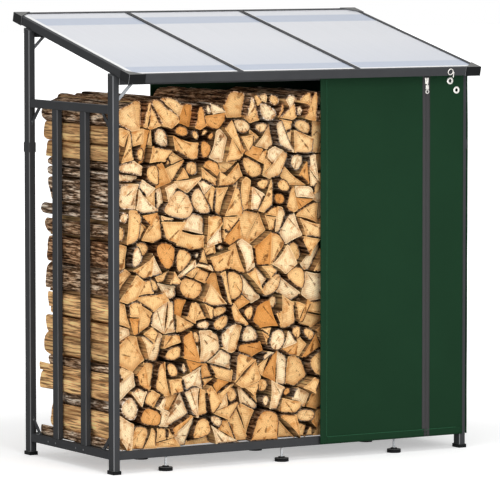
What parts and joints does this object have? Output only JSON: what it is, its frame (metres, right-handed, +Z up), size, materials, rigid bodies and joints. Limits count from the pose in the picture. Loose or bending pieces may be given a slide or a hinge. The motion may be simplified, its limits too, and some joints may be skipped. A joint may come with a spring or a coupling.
{
  "type": "log store",
  "caption": "Steel tube log store with a sloping translucent roof, slatted ends, levelling feet, a part cover of green cloth with a zip, and a stack of split firewood.",
  "frame": {"origin": "on the ground under the middle of the whole store's box", "axes": "+Z up, -Y towards the open front, +X to the right seen from the front"},
  "size_m": [1.86, 1.0876, 2.0076],
  "materials": {
    "powder_coated_steel": "satin charcoal",
    "galvanised_steel": "zinc",
    "black_plastic": "moulded, fine texture",
    "nickel_plate": "bright nickel",
    "twin_wall_sheet": "translucent twin-wall polycarbonate",
    "woven_cloth": "coated plain weave, dark green",
    "zip_tape": "woven tape with coil teeth",
    "firewood": "split logs with bark, sawn ends"
  },
  "bodies": {
    "root": {"post_front_left": "powder_coated_steel", "post_front_right": "powder_coated_steel", "post_back_left": "powder_coated_steel", "post_back_right": "powder_coated_steel", "post_collars": "powder_coated_steel", "base_rail_front": "powder_coated_steel", "base_rail_back": "powder_coated_steel", "base_rail_left": "powder_coated_steel", "base_rail_right": "powder_coated_steel", "base_rail_middle": "powder_coated_steel", "upper_rail_left": "powder_coated_steel", "upper_rail_right": "powder_coated_steel", "slats_left": "powder_coated_steel", "slats_right": "powder_coated_steel", "gussets_left": "powder_coated_steel", "gussets_right": "powder_coated_steel", "beam_front": "powder_coated_steel", "beam_back": "powder_coated_steel", "roof_tube_front": "powder_coated_steel", "roof_tube_back": "powder_coated_steel", "roof_tube_left": "powder_coated_steel", "roof_tube_right": "powder_coated_steel", "glazing_bars": "powder_coated_steel", "knee_braces": "galvanised_steel", "leveller_rods": "galvanised_steel", "post_feet": "black_plastic", "leveller_pads": "black_plastic", "roof_corner_caps": "black_plastic", "zip_slider": "nickel_plate", "cover_eyelets": "nickel_plate", "hanging_ring": "nickel_plate", "ring_link": "nickel_plate", "roof_sheet_left": "twin_wall_sheet", "roof_sheet_middle": "twin_wall_sheet", "roof_sheet_right": "twin_wall_sheet", "cover_front": "woven_cloth", "cover_side": "woven_cloth", "cover_back": "woven_cloth", "cover_zip": "zip_tape", "firewood_layer_1": "firewood", "firewood_layer_2": "firewood", "firewood_layer_3": "firewood", "firewood_layer_4": "firewood", "firewood_layer_5": "firewood", "firewood_layer_6": "firewood"}
  },
  "joints": []
}
